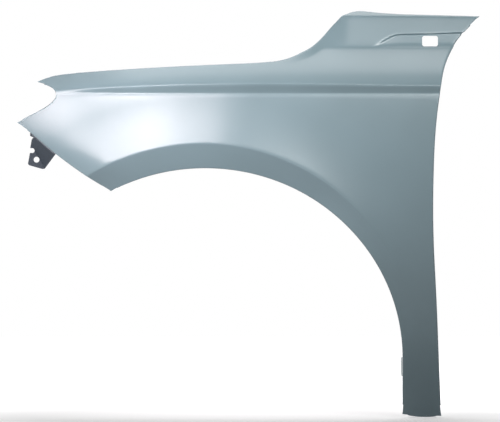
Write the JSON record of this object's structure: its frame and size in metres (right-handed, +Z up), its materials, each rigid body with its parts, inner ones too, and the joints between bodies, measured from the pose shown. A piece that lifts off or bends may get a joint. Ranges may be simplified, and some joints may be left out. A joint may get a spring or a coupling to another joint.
{
  "type": "car fender",
  "caption": "Left front fender of a car: a pressed steel panel round the wheel arch, with fixing flanges and a bumper bracket.",
  "frame": {"origin": "centre of the middle bolt hole on the underside of the hood-side seat flange", "axes": "+X rearwards along the car, +Y inboard, away from the outer skin, +Z up"},
  "size_m": [0.834, 0.1407, 0.7299],
  "materials": {
    "fender_panel": "satin grey-blue primer on pressed steel",
    "bumper_bracket": "dark satin coating on steel sheet"
  },
  "bodies": {
    "root": {"fender_panel": "fender_panel", "bumper_bracket": "bumper_bracket"}
  },
  "joints": []
}
